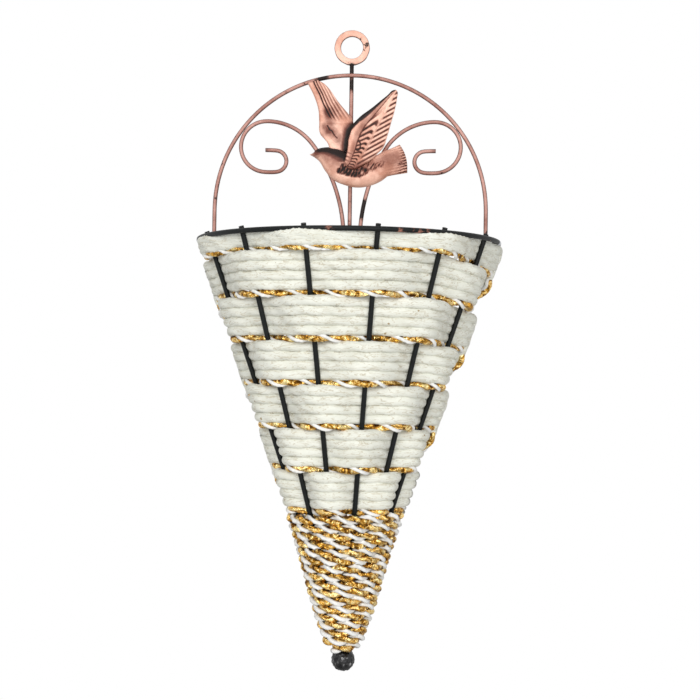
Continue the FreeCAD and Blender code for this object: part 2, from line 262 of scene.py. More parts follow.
def makeRopePaper():
    material, tree, shader, coords = newMaterial("ropePaper")
    blotch = addNoise(tree, coords, ropePaper["blotchScale"], 4.0, 0.6)
    tone = addRamp(tree, blotch, [(0.3, ropePaper["shade"]), (0.55, ropePaper["pale"])])
    fibre = addNoise(tree, stretched(tree, coords, (1.0, 1.0, 3.5)), ropePaper["fibreScale"],
                     6.0, 0.7, 0.5)
    lines = addRamp(tree, fibre, [(0.28, ropePaper["line"]), (0.45, white)])
    tone = addMix(tree, ropePaper["lineShare"], tone, lines, "MULTIPLY")
    folds = addNoise(tree, stretched(tree, coords, (1.0, 1.0, 5.0)), ropePaper["creaseScale"],
                     3.0, 0.6, 0.6)
    # painted shade: thin dark lines where the paper creases
    thin = addMath(tree, "ABSOLUTE", addMath(tree, "SUBTRACT", folds, 0.5))
    crease = addRamp(tree, thin, [(0.0, (0.8, 0.8, 0.8)), (0.026, black)])
    tone = addMix(tree, crease, tone, ropePaper["crease"])
    # painted shade in small dents
    dentShade = addNoise(tree, stretched(tree, coords, (1.0, 1.0, 5.5)), ropePaper["dentScale"],
                    3.0, 0.6, 0.4)
    tone = addMix(tree, addMask(tree, dentShade, 0.655, 0.71, 0.6), tone, ropePaper["dent"])
    # specks stand in the middle of some cells, where a wide noise is high
    some = addNoise(tree, coords, ropePaper["speckPatches"], 2.0)
    share = addMath(tree, "MULTIPLY", addMath(tree, "SUBTRACT", some, 0.47), 0.5)
    away = addMath(tree, "SUBTRACT", addCells(tree, coords, ropePaper["speckScale"]), share)
    specks = addRamp(tree, away, [(0.0, white), (0.02, black)])
    tree.links.new(addMix(tree, specks, tone, ropePaper["speck"]), shader.inputs["Base Color"])
    shader.inputs["Roughness"].default_value = ropePaper["roughness"]
    shader.inputs["Sheen Weight"].default_value = ropePaper["sheen"]
    addBump(tree, shader, fibre, 0.55, 0.0006)
    return material


# the smooth pale ply of the two-ply cord
plyPaper = dict(shade=(0.72, 0.71, 0.68), pale=(0.88, 0.88, 0.86), softScale=160.0,
                grainScale=700.0, roughness=0.7)


def makePalePly():
    material, tree, shader, coords = newMaterial("palePly")
    soft = addNoise(tree, coords, plyPaper["softScale"], 4.0)
    tone = addRamp(tree, soft, [(0.3, plyPaper["shade"]), (0.6, plyPaper["pale"])])
    tree.links.new(tone, shader.inputs["Base Color"])
    shader.inputs["Roughness"].default_value = plyPaper["roughness"]
    addBump(tree, shader, addNoise(tree, coords, plyPaper["grainScale"], 4.0), 0.3, 0.0003)
    return material


# crinkled gold foil round the other ply, its colour painted with the shade and highlights of the
# crinkles, from a dark brown through gold to pale yellow
goldFoil = dict(pale=(1.0, 0.80, 0.37), mid=(0.64, 0.32, 0.038), crinkleShade=(0.11, 0.04, 0.005),
                crinkleScale=190.0, creaseScale=150.0, metallic=0.95, roughness=0.2)


def makeGoldFoil():
    material, tree, shader, coords = newMaterial("goldFoil")
    crinkle = addCells(tree, coords, goldFoil["crinkleScale"])
    creases = addNoise(tree, coords, goldFoil["creaseScale"], 4.0, 0.65, 1.8)
    # painted shade and highlight: the crease noise runs from a dark shade tone through gold to a
    # pale highlight
    tone = addRamp(tree, creases, [(0.39, goldFoil["crinkleShade"]), (0.48, goldFoil["mid"]),
                                   (0.59, goldFoil["pale"])])
    tree.links.new(tone, shader.inputs["Base Color"])
    shader.inputs["Metallic"].default_value = goldFoil["metallic"]
    shader.inputs["Roughness"].default_value = goldFoil["roughness"]
    normal = addBump(tree, shader, crinkle, 1.0, 0.0022)
    addBump(tree, shader, creases, 0.9, 0.002, normal)
    return material


# the black ball, with bright specks of painted highlight where it is hammered
hammered = dict(dark=(0.006, 0.006, 0.007), mid=(0.035, 0.035, 0.035), glintSpeck=(0.42, 0.42, 0.42),
                grainScale=260.0, metallic=0.6, roughness=0.38)


def makeHammeredIron():
    material, tree, shader, coords = newMaterial("hammeredIron")
    soft = addNoise(tree, coords, hammered["grainScale"], 5.0)
    # the brightest stop is a painted highlight on the hammered facets
    tone = addRamp(tree, soft, [(0.40, hammered["dark"]), (0.58, hammered["mid"]),
                                (0.68, hammered["glintSpeck"])])
    tree.links.new(tone, shader.inputs["Base Color"])
    shader.inputs["Metallic"].default_value = hammered["metallic"]
    shader.inputs["Roughness"].default_value = hammered["roughness"]
    addBump(tree, shader, soft, 0.5, 0.0005)
    return material


darkPaint = makeDarkPaint()
copperOnWire = makeCopperPaint("copperOnWire", "mid", "pale", "wireFlecks")
copperOnRing = makeCopperPaint("copperOnRing", "birdMid", "birdPale", "ringFlecks")
copperOnBird = makeCopperPaint("copperOnBird", "birdMid", "birdPale")
paper = makeRopePaper()
palePly = makePalePly()
foil = makeGoldFoil()
iron = makeHammeredIron()
print("materials made")


# ways of making pieces

def addPiece(mesh, name, materials):
    piece = bpy.data.objects.new(name, mesh)
    bpy.context.scene.collection.objects.link(piece)
    for material in materials:
        mesh.materials.append(material)
    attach(piece, "root")
    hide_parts(name)


def smooth(low, high, value):
    # 0 up to low, 1 from high on, and a soft step between
    t = min(1.0, max(0.0, (value - low) / (high - low)))
    return t * t * (3 - 2 * t)


def roundProfile(radius, count, centreX=0.0, lobes=0, lobeDepth=0.0):
    # a closed outline that a wire or a ply is swept with, in millimetres
    curve = bpy.data.curves.new("profile", "CURVE")
    curve.dimensions = "2D"
    spline = curve.splines.new("POLY")
    spline.points.add(count - 1)
    for i, point in enumerate(spline.points):
        t = 2 * math.pi * i / count
        r = radius * (1 - lobeDepth * (0.5 - 0.5 * math.cos(lobes * t)))
        point.co = ((centreX + r * math.cos(t)) * mm, r * math.sin(t) * mm, 0, 1)
    spline.use_cyclic_u = True
    profile = bpy.data.objects.new("profile", curve)
    bpy.context.scene.collection.objects.link(profile)
    return profile


def sweepMesh(name, paths, profile, resolution, upright=True):
    # paths are lists of (point in millimetres, twist in radians)
    curve = bpy.data.curves.new(name, "CURVE")
    curve.dimensions = "3D"
    curve.twist_mode = "Z_UP" if upright else "MINIMUM"
    curve.resolution_u = resolution
    curve.bevel_mode = "OBJECT"
    curve.bevel_object = profile
    curve.use_fill_caps = True
    for path in paths:
        spline = curve.splines.new("NURBS")
        spline.points.add(len(path) - 1)
        for point, (where, twist) in zip(spline.points, path):
            point.co = (*(where * mm), 1)
            point.tilt = twist
        spline.order_u = 3
        spline.use_endpoint_u = True
    swept = bpy.data.objects.new(name, curve)
    bpy.context.scene.collection.objects.link(swept)
    depsgraph = bpy.context.evaluated_depsgraph_get()
    mesh = bpy.data.meshes.new_from_object(swept.evaluated_get(depsgraph))
    bpy.data.objects.remove(swept)
    bpy.data.objects.remove(profile)
    bm = bmesh.new()
    bm.from_mesh(mesh)
    bmesh.ops.remove_doubles(bm, verts=bm.verts, dist=1e-7)
    bmesh.ops.recalc_face_normals(bm, faces=bm.faces)
    for face in bm.faces:
        face.smooth = len(face.verts) == 4
    bm.to_mesh(mesh)
    bm.free()
    return mesh


def markShadedSides(mesh):
    # 0 where a surface looks straight forwards or back, 1 where it is square to that; the copper
    # paint turns dark by it as painted shade on the sides
    side = mesh.attributes.new("side", "FLOAT", "POINT")
    for value, vert in zip(side.data, mesh.vertices):
        value.value = 1 - abs(vert.normal.y)


def joinMeshes(name, meshes):
    # each mesh keeps its own material number
    bm = bmesh.new()
    for number, mesh in enumerate(meshes):
        before = len(bm.faces)
        bm.from_mesh(mesh)
        bm.faces.ensure_lookup_table()
        for face in bm.faces[before:]:
            face.material_index = number
        bpy.data.meshes.remove(mesh)
    whole = bpy.data.meshes.new(name)
    bm.to_mesh(whole)
    bm.free()
    return whole


# frame wires

wires = dict(sides=16, resolution=3, frontY=-4.5, legZ=-140.25, ribStub=3.5, ribSteps=24,
             ribWobble=0.25, wobbleStep=0.35, frontRibEnd=-410.0, sideRibEnd=-420.0)


def straight(start, end, count):
    return [start.lerp(end, i / count) for i in range(count + 1)]


def arcPoints(centre, radius, start, turn, count, y):
    points = []
    for i in range(count + 1):
        t = math.radians(start + turn * i / count)
        points.append(Vector((centre[0] + radius * math.cos(t), y,
                              centre[1] + radius * math.sin(t))))
    return points


def wirePiece(name, points, radius, material):
    path = [(point, 0.0) for point in points]
    profile = roundProfile(radius, wires["sides"])
    mesh = sweepMesh(name, [path], profile, wires["resolution"], upright=False)
    markShadedSides(mesh)
    addPiece(mesh, name, [material])


def ribPiece(name, angle, lowZ):
    # a rib isn't quite straight between its ends
    top = onCone(basket["rimZ"] + wires["ribStub"], angle)
    points = straight(top, onCone(lowZ, angle), wires["ribSteps"])
    for i, point in enumerate(points[1:-1]):
        seed = Vector((angle, i * wires["wobbleStep"], 3.0))
        shift = Vector((noise.noise(seed), noise.noise(seed + Vector((9, 0, 0))), 0))
        point += shift * wires["ribWobble"]
    wirePiece(name, points, basket["ribRadius"], darkPaint)


for number, angle in enumerate(reversed(basket["stations"][1:-1]), 1):
    ribPiece("rib_front_%d" % number, angle, wires["frontRibEnd"])
ribPiece("rib_side_right", 0.0, wires["sideRibEnd"])
ribPiece("rib_side_left", 180.0, wires["sideRibEnd"])


rim = dict(frontSteps=48, cornerSteps=6, barSteps=20, barInset=8.0)


def makeRim():
    # the round front, the left corner, the bar along the wall and the right corner
    sideY, z, r = -basket["sideY"], basket["rimZ"], basket["mouthRadius"]
    corner = basket["sideY"] - 2 * basket["wireRadius"] - basket["rimRadius"]
    steps = rim["cornerSteps"]
    points = []
    for i in range(rim["frontSteps"] + 1):
        t = math.pi * i / rim["frontSteps"]
        points.append(Vector((r * math.cos(t), sideY - r * math.sin(t), z)))
    for i in range(1, steps + 1):
        t = math.pi / 2 * i / steps
        points.append(Vector((-r + corner - corner * math.cos(t), sideY + corner * math.sin(t), z)))
    points += straight(Vector((-r + corner + rim["barInset"], sideY + corner, z)),
                       Vector((r - corner - rim["barInset"], sideY + corner, z)), rim["barSteps"])
    for i in range(steps + 1):
        t = math.pi / 2 * i / steps
        points.append(Vector((r - corner + corner * math.sin(t), sideY + corner * math.cos(t), z)))
    wirePiece("rim", points, basket["rimRadius"], darkPaint)


makeRim()


arch = dict(radius=97.7, z=-118.3, steps=48, legSteps=4, legGap=2.0)


def makeArch():
    r, z, y = arch["radius"], arch["z"], wires["frontY"]
    low, high = wires["legZ"], z - arch["legGap"]
    points = straight(Vector((r, y, low)), Vector((r, y, high)), arch["legSteps"])
    points += arcPoints((0, z), r, 0, 180, arch["steps"], y)
    points += straight(Vector((-r, y, high)), Vector((-r, y, low)), arch["legSteps"])
    wirePiece("arch", points, basket["wireRadius"], copperOnWire)


makeArch()


# a scroll rises from its foot, bends over the neck, turns under the arch and curls in
scroll = dict(turnRadius=18.5, neckRadius=42.0, curlRadius=8.0, curlIn=7.0, curlEnd=7.5,
              touchAngle=37.0, leftFootX=-4.0, rightFootX=7.5,
              step=260.0)  # degrees times millimetres of a curve for each of its points


def scrollPath(footX, side):
    y, turnRadius, neck = wires["frontY"], scroll["turnRadius"], scroll["neckRadius"]
    reach = arch["radius"] - 2 * basket["wireRadius"] - turnRadius
    touch = math.radians(scroll["touchAngle"])
    topX = reach * math.cos(touch)
    topZ = arch["z"] + reach * math.sin(touch) + turnRadius
    free = topX + side * footX - neck
    rise = topZ - neck - wires["legZ"]
    spare = (free ** 2 + rise ** 2) / (2 * free)
    footTurn = math.degrees(math.atan2(rise, spare - free))
    steps = [(spare + neck, footTurn), (neck, 90 - footTurn), (turnRadius, 180),
             (scroll["curlIn"], None), (scroll["curlRadius"], 180), (scroll["curlEnd"], None)]
    x, z, heading = footX, wires["legZ"], 90.0
    points = [Vector((x, y, z))]
    for size, turn in steps:
        if turn is None:
            x += size * math.cos(math.radians(heading))
            z += size * math.sin(math.radians(heading))
            points.append(Vector((x, y, z)))
            continue
        turn *= side
        way = 1 if turn > 0 else -1
        centre = (x - way * size * math.sin(math.radians(heading)),
                  z + way * size * math.cos(math.radians(heading)))
        count = max(3, round(abs(turn) * size / scroll["step"]))
        points += arcPoints(centre, size, heading - way * 90, turn, count, y)[1:]
        x, z = points[-1].x, points[-1].z
        heading += turn
    return points


for name, footX, side in (("scroll_left", scroll["leftFootX"], 1),
                          ("scroll_right", scroll["rightFootX"], -1)):
    wirePiece(name, scrollPath(footX, side), basket["wireRadius"], copperOnWire)


# straight runs with their steps: down the wall, slanting forward, and down into the ball
spine = dict(runs=[((0, -1.5, -11.6), (0, -1.5, -142), 16), ((0, -1.7, -150), (0, -7.8, -331), 16),
                   ((0, -8.0, -338), (0, -8.0, -436), 8)])


def makeSpine():
    points = []
    for start, end, steps in spine["runs"]:
        points += straight(Vector(start), Vector(end), steps)
    wirePiece("spine", points, basket["wireRadius"], copperOnWire)


makeSpine()
print("wires made")


# woven wall

# press, stand and each sag are a right and a left value, and the other pairs are angles
weave = dict(courses=7, firstLine=-153.0, pitch=29.7, lineHeight=5.8, rimGap=2.0,
             ropeRows=4, firstRows=3, ropeRadius=4.1, ropeSides=18, lobeDepth=0.13,
             ropeTwist=34.0, overlap=0.55, resolution=2, cordSides=12,
             foilRadius=2.4, foilOffset=0.8, plyRadius=1.35, plyOffset=2.05, cordTwist=25.5,
             swing=5.2, perRib=6, turnSteps=9, waver=0.55, sideWaver=0.3,
             nest=2.8, nestZ=-241.0, nestReach=100.0,
             press=(0.14, 0.34), pressRight=(0.0, 30.0), pressLeft=(150.0, 180.0),
             stand=(1.2, 0.5), cordProud=2.2, turnDepth=0.92,
             sagRight=(-5.0, 62.0), sagLeft=(118.0, 185.0),
             sag=[(10.5, 2.0), (8.0, 0.0), (4.5, 0.0), (3.0, 0.0), (1.5, 0.0), (0.5, 0.0),
                  (0.0, 0.0)])


def outside(course, station):
    # whether a course passes in front of a rib
    return (course + station) % 2 == 1


def lineZ(course, angle=90.0):
    # the gold lines sag towards the right side, the upper ones most
    right, left = weave["sag"][course - 1]
    drop = (right * (1 - smooth(*weave["sagRight"], angle))
            + left * smooth(*weave["sagLeft"], angle))
    return weave["firstLine"] - weave["pitch"] * (course - 1) - drop


def rowsOf(course):
    return weave["firstRows"] if course == 1 else weave["ropeRows"]


def rowZ(course, row, angle):
    # the middle of a rope row, counted from the top
    half = weave["lineHeight"] / 2 - weave["overlap"]
    high = basket["rimZ"] - weave["rimGap"] if course == 1 else lineZ(course - 1, angle) - half
    low = lineZ(course, angle) + half
    return high + (low - high) * (row + 0.5) / rowsOf(course)


def wavePoints(course, heightAt, seed):
    # one strand's line from the right side rib round to the left one
    stations = basket["stations"]
    right, left = weave["press"]
    last = len(stations) - 2
    points = []
    for i in range(last + 1):
        swing = weave["swing"] * (1 if outside(course, i) else -1)
        for j in range(weave["perRib"] + (1 if i == last else 0)):
            part = j / weave["perRib"]
            angle = stations[i] + (stations[i + 1] - stations[i]) * part
            bend = math.cos(math.pi * part)
            height = heightAt(angle)
            lift = noise.noise(Vector((angle * 0.09, height * 0.4, seed)))
            # strands behind the ribs nest against their neighbours near the sides
            nest = weave["nest"] * max(0.0, -bend * swing / weave["swing"])
            nest *= (math.cos(math.radians(angle)) ** 2 * (height - weave["nestZ"])
                     / weave["nestReach"])
            z = height + weave["waver"] * lift + nest
            # near the side ribs the strands are drawn in closer
            tight = (1 - right * (1 - smooth(*weave["pressRight"], angle))
                     - left * smooth(*weave["pressLeft"], angle))
            off = swing * bend * (tight if swing * bend > 0 else 1.0)
            points.append(onCone(z, angle, off + weave["sideWaver"] * lift))
    return points


def turnPoints(side, height, drop, proud):
    # round the outside of a side rib, behind it and back inside, down by one course
    which = 0 if side == 1 else 1
    points = []
    for i in range(1, weave["turnSteps"] + 1):
        part = i / weave["turnSteps"]
        # it stays outside for a while, standing off a little, before it dives behind
        t = math.pi * smooth(0.1, 1.0, part)
        z = height - drop * part
        stand = weave["stand"][which] + proud
        stand *= math.sin(math.pi * min(1.0, 1.3 * part)) ** 2
        swing = weave["swing"] * (1 - weave["press"][which] * (1 - smooth(0.6, 1.0, part)))
        x = side * (ribCircle(z) + swing * math.cos(t) + stand)
        y = -basket["sideY"] + weave["turnDepth"] * swing * math.sin(t)
        points.append(Vector((x, y, z)))
    return points


def coursePath(course, heightAt, belowAt, seed, proud=0.0):
    # odd courses turn on the right side and even ones on the left
    points = wavePoints(course, heightAt, seed)
    if course == weave["courses"]:
        return points
    side, angle = (1, 0.0) if course % 2 == 1 else (-1, 180.0)
    if side == 1:
        points.reverse()
    drop = heightAt(angle) - belowAt(angle)
    return points + turnPoints(side, heightAt(angle), drop, proud)


def twisted(points, pitch, start):
    # the twist along a path, one turn in each pitch
    path, run = [], 0.0
    for i, point in enumerate(points):
        if i:
            run += (point - points[i - 1]).length
        path.append([point, start + 2 * math.pi * run / pitch])
    # a curve's tilt has a limit, so it is counted from the path's middle
    half = math.floor(run / pitch / 2) * 2 * math.pi
    for knot in path:
        knot[1] -= half
    return path


def twoPlyCord(name, points, sizes, start):
    # a foil ply and a pale ply wound round one middle line
    plies = []
    for kind, side in (("foil", 1), ("ply", -1)):
        profile = roundProfile(sizes[kind + "Radius"], sizes["cordSides"],
                               side * sizes[kind + "Offset"])
        path = twisted(points, sizes["cordTwist"], start)
        plies.append(sweepMesh(name, [path], profile, sizes["resolution"]))
    addPiece(joinMeshes(name, plies), name, [foil, palePly])


def makeRopeBand(course):
    paths = []
    for row in range(rowsOf(course)):
        points = coursePath(course, lambda angle: rowZ(course, row, angle),
                            lambda angle: rowZ(course + 1, row, angle), course * 7.3 + row)
        paths.append(twisted(points, weave["ropeTwist"], random.uniform(0, 6)))
    name = "rope_band_%d" % course
    profile = roundProfile(weave["ropeRadius"], weave["ropeSides"], lobes=2,
                           lobeDepth=weave["lobeDepth"])
    mesh = sweepMesh(name, paths, profile, weave["resolution"])
    addPiece(mesh, name, [paper])


def makeGoldCord(course):
    points = coursePath(course, lambda angle: lineZ(course, angle),
                        lambda angle: lineZ(course + 1, angle), course * 3.1 + 50,
                        weave["cordProud"])
    twoPlyCord("gold_cord_%d" % course, points, weave, random.uniform(0, 6))


for course in range(1, weave["courses"] + 1):
    makeRopeBand(course)
    makeGoldCord(course)
print("woven wall made")


# wound tip

winding = dict(turns=16.5, steps=272, topZ=-335.2, lowZ=-430.5, frontShare=0.6,
               standOff=2.9, firstSwell=0.6, swell=3.4, endTuck=2.4, corner=5.6, flatness=0.35,
               foilRadius=2.35, foilOffset=1.45, plyRadius=1.75, plyOffset=2.1, cordTwist=21.5,
             cordStart=1.0, cordSides=10, resolution=3)


def windingPoint(turn):
    # half a circle round the front ribs, then flat along the wall
    share = turn / winding["turns"]
    z = winding["topZ"] + (winding["lowZ"] - winding["topZ"]) * share
    swell = (winding["firstSwell"] + winding["swell"] * smooth(0.1, 0.8, share)
             - winding["endTuck"] * smooth(0.93, 1.0, share))
    r = ribCircle(z) + basket["ribRadius"] + winding["standOff"] + swell
    part, front = turn % 1.0, winding["frontShare"]
    if part <= front:
        t = math.pi * part / front
        return Vector((r * math.cos(t), -basket["sideY"] - r * math.sin(t), z))
    t = math.pi * (1 + (part - front) / (1 - front))
    depth = min(1.0, winding["corner"] / max(r, 0.1))
    squash = abs(math.sin(t)) ** winding["flatness"] if depth < 1 else abs(math.sin(t))
    return Vector((r * math.cos(t), -basket["sideY"] + r * depth * squash, z))


def makeWinding():
    steps = winding["steps"]
    points = [windingPoint(winding["turns"] * i / steps) for i in range(steps + 1)]
    twoPlyCord("tip_winding", points, winding, winding["cordStart"])


makeWinding()
print("wound tip made")


# hanging ring and ball

ring = dict(outer=12.7, hole=8.0, thick=3.0, bevel=0.7, segments=96,
            dent=0.25, dentScale=260, dentFrom=10.0)  # the outer part is a little uneven


def makeRing():
    bm = bmesh.new()
    wall = ring["outer"] - ring["hole"]
    bmesh.ops.create_grid(bm, x_segments=1, y_segments=1, size=0.5)
    bmesh.ops.scale(bm, verts=bm.verts, vec=(wall * mm, ring["thick"] * mm, 1))
    bmesh.ops.translate(bm, verts=bm.verts, vec=((ring["outer"] + ring["hole"]) / 2 * mm,
                                                 -ring["thick"] / 2 * mm, 0))
    bmesh.ops.bevel(bm, geom=bm.verts[:], offset=ring["bevel"] * mm, segments=3, profile=0.5,
                    affect="VERTICES", material=-1)
    bmesh.ops.spin(bm, geom=bm.verts[:] + bm.edges[:] + bm.faces[:], angle=2 * math.pi,
                   steps=ring["segments"], axis=(0, 1, 0), cent=(0, 0, 0), use_merge=True)
    bmesh.ops.remove_doubles(bm, verts=bm.verts, dist=1e-6)
    inner = [f for f in bm.faces if all(len(e.link_faces) > 2 for e in f.edges)]
    bmesh.ops.delete(bm, geom=inner, context="FACES_ONLY")
    for vert in bm.verts:
        lift = noise.noise(vert.co * ring["dentScale"])
        out = Vector((vert.co.x, 0, vert.co.z))
        if out.length > ring["dentFrom"] * mm:
            vert.co += out.normalized() * lift * ring["dent"] * mm
    bmesh.ops.recalc_face_normals(bm, faces=bm.faces)
    for face in bm.faces:
        face.smooth = True
    mesh = bpy.data.meshes.new("hang_ring")
    bm.to_mesh(mesh)
    bm.free()
    markShadedSides(mesh)
    addPiece(mesh, "hang_ring", [copperOnRing])


ball = dict(radius=8.5, y=-8.0, z=-439.0, cellScale=2.6, dent=0.9, dentEdge=0.55,
            grain=0.15, grainScale=9)


def makeBall():
    # hammer marks along the borders of the cells
    bm = bmesh.new()
    bmesh.ops.create_icosphere(bm, subdivisions=5, radius=ball["radius"] * mm)
    for vert in bm.verts:
        out = vert.co.normalized()
        cells = noise.voronoi(out * ball["cellScale"])[0]
        border = max(0.0, ball["dentEdge"] - (cells[1] - cells[0]))
        uneven = ball["grain"] * noise.noise(out * ball["grainScale"])
        vert.co = out * (ball["radius"] - ball["dent"] * border + uneven) * mm
    bmesh.ops.translate(bm, verts=bm.verts, vec=(0, ball["y"] * mm, ball["z"] * mm))
    for face in bm.faces:
        face.smooth = True
    mesh = bpy.data.meshes.new("ball_finial")
    bm.to_mesh(mesh)
    bm.free()
    addPiece(mesh, "ball_finial", [iron])


makeRing()
makeBall()
print("ring and ball made")


# the bird: three pressed pieces with relief in front, dark patina in the hollows and painted shade
# beside the near wing and over the upper body

bird = dict(backY=-6.0, ruling=0.45, bodyEdge=0.9, bodyBulge=3.6, bodyRound=9.0,
            wingBack=-10.4, wingThick=1.2, farThick=1.1, feather=0.95, farFeather=0.8,
            featherStep=3.25, coverTurn=4.7)

# knots of (x, z), sharp where a third value stands
bodyOutline = [(-29.3, -78.3, 1), (-27.0, -77.2), (-24.2, -74.6), (-18.5, -73.0), (-12.0, -73.3),
               (-6.5, -74.6), (-2.0, -77.0), (8.0, -80.5), (17.0, -79.0), (23.7, -75.6, 1),
               (30.0, -73.2), (35.4, -70.7, 1), (37.4, -73.6), (39.7, -78.6), (40.9, -84.0),
               (41.2, -91.0, 1), (37.0, -91.7), (31.5, -92.6), (27.0, -93.6, 1), (22.0, -97.3),
               (14.0, -100.6), (5.0, -101.8), (-4.0, -100.0), (-12.0, -96.3), (-18.0, -89.8),
               (-22.0, -83.4), (-25.0, -80.8)]
nearOutline = [(-3.6, -82.0), (-2.3, -75.0), (-2.0, -68.0), (0.0, -60.5), (5.0, -53.4),
               (16.0, -44.6), (26.0, -36.3), (31.4, -32.2), (33.2, -33.0), (33.2, -38.0),
               (31.6, -47.0), (29.0, -56.6), (26.3, -66.5), (23.7, -73.8), (20.0, -77.6),
               (15.5, -82.2), (9.5, -86.6), (2.5, -89.4), (-2.4, -87.4)]
farOutline = [(-31.5, -26.6, 1), (-24.0, -24.6, 1), (-18.8, -27.6), (-8.8, -40.5),
              (0.6, -51.6, 1), (2.4, -57.0), (0.2, -66.0), (-1.2, -74.0), (-5.0, -78.0, 1),
              (-14.5, -77.0, 1), (-16.2, -70.4), (-19.0, -66.8), (-22.0, -63.0), (-22.7, -54.0),
              (-23.4, -46.0), (-26.5, -36.5)]
leadingEdge = [(-3.6, -82.0), (-2.3, -75.0), (-2.0, -68.0), (0.0, -60.5), (5.0, -53.4),
               (16.0, -44.6), (26.0, -36.3), (32.0, -31.8)]
trailingEdge = [(9.5, -87.5), (15.5, -82.2), (20.0, -77.6), (23.7, -73.8), (26.3, -66.5),
                (29.0, -56.6), (31.6, -47.0), (33.4, -38.0), (33.6, -31.0)]
underWing = [(-7.3, -90.0), (-0.2, -92.3), (6.9, -92.8), (13.4, -89.6), (17.5, -86.6),
             (23.4, -84.9)]
headTop = [(-27.0, -77.2), (-24.2, -74.6), (-18.5, -73.0), (-12.0, -73.3), (-6.5, -74.6),
           (-2.0, -77.0)]
farEdge = [(-31.5, -26.6), (-26.5, -36.5), (-23.4, -46.0), (-22.7, -54.0), (-22.0, -63.0),
           (-19.0, -66.8), (-15.0, -72.4)]
farInner = [(-17.0, -24.6), (-8.8, -38.5), (0.6, -51.6), (1.0, -58.0), (-3.2, -68.0)]
farCrease = [(-16.6, -57.6), (-14.9, -60.6), (-13.4, -61.2), (-11.6, -64.4), (-9.6, -66.4)]


def toLine(x, z, knots):
    # least distance from a point to a line through knots, and how far along it lies
    spot, best, run, total = Vector((x, z)), None, 0.0, 0.0
    for (ax, az), (bx, bz) in zip(knots, knots[1:]):
        a, b = Vector((ax, az)), Vector((bx, bz))
        part = min(1.0, max(0.0, geometry.intersect_point_line(spot, a, b)[1]))
        far = (a.lerp(b, part) - spot).length
        if best is None or far < best:
            best, run = far, total + part * (b - a).length
        total += (b - a).length
    return best, run / total


def dome(value):
    # the height of a half circle of radius 1
    return math.sqrt(max(0.0, 1 - value ** 2))


def bump(value):
    # a rounded ridge over each whole number, and how deep between ridges
    t = value - math.floor(value) - 0.5
    return dome(2 * t), smooth(0.14, 0.38, abs(t))


def grain(x, z, seed):
    return noise.noise(Vector((x, z, seed)))


def ruledSheet(outline, ruling):
    # a flat sheet inside a smooth outline, cut into small squares
    curve = bpy.data.curves.new("outline", "CURVE")
    curve.dimensions = "2D"
    curve.fill_mode = "BOTH"
    curve.resolution_u = 6
    spline = curve.splines.new("BEZIER")
    spline.bezier_points.add(len(outline) - 1)
    for knot, spot in zip(spline.bezier_points, outline):
        knot.co = (spot[0] * mm, spot[1] * mm, 0)
        kind = "VECTOR" if len(spot) == 3 else "AUTO"
        knot.handle_left_type = knot.handle_right_type = kind
    spline.use_cyclic_u = True
    holder = bpy.data.objects.new("outline", curve)
    bpy.context.scene.collection.objects.link(holder)
    depsgraph = bpy.context.evaluated_depsgraph_get()
    mesh = bpy.data.meshes.new_from_object(holder.evaluated_get(depsgraph))
    bpy.data.objects.remove(holder)
    bm = bmesh.new()
    bm.from_mesh(mesh)
    bpy.data.meshes.remove(mesh)
    bmesh.ops.remove_doubles(bm, verts=bm.verts, dist=1e-6)
    bmesh.ops.dissolve_faces(bm, faces=bm.faces[:])
    for axis in (0, 1):
        spots = [v.co[axis] for v in bm.verts]
        low, high = min(spots), max(spots)
        count = int((high - low) / (ruling * mm))
        for i in range(1, count):
            at, way = [0, 0, 0], [0, 0, 0]
            at[axis], way[axis] = low + (high - low) * i / count, 1
            bmesh.ops.bisect_plane(bm, geom=bm.verts[:] + bm.edges[:] + bm.faces[:],
                                   plane_co=at, plane_no=way, dist=1e-7)
    return bm


def spotOf(vert):
    return round(vert.co.x, 7), round(vert.co.y, 7)


def pressedPiece(name, outline, backY, relief):
    bm = ruledSheet(outline, bird["ruling"])
    patinaAndShade = bm.verts.layers.float.new("patinaAndShade")
    edge = [v for v in bm.verts if v.is_boundary]
    tree = kdtree.KDTree(len(edge))
    for i, vert in enumerate(edge):
        tree.insert(vert.co, i)
    tree.balance()
    front = {}
    for vert in bm.verts:
        inset = tree.find(vert.co)[2] / mm
        front[spotOf(vert)] = relief(vert.co.x / mm, vert.co.y / mm, inset)
    lifted = bmesh.ops.extrude_face_region(bm, geom=bm.faces[:], use_keep_orig=True)["geom"]
    for vert in [g for g in lifted if isinstance(g, bmesh.types.BMVert)]:
        height, vert[patinaAndShade] = front[spotOf(vert)]
        vert.co.z = height * mm
    for vert in bm.verts:
        vert.co = Vector((vert.co.x, backY * mm - vert.co.z, vert.co.y))
    bmesh.ops.recalc_face_normals(bm, faces=bm.faces)
    for face in bm.faces:
        face.smooth = True
    openEdges = sum(1 for e in bm.edges if len(e.link_faces) != 2)
    print(name, len(bm.faces), "faces, open edges", openEdges)
    mesh = bpy.data.meshes.new(name)
    bm.to_mesh(mesh)
    bm.free()
    addPiece(mesh, name, [copperOnBird])
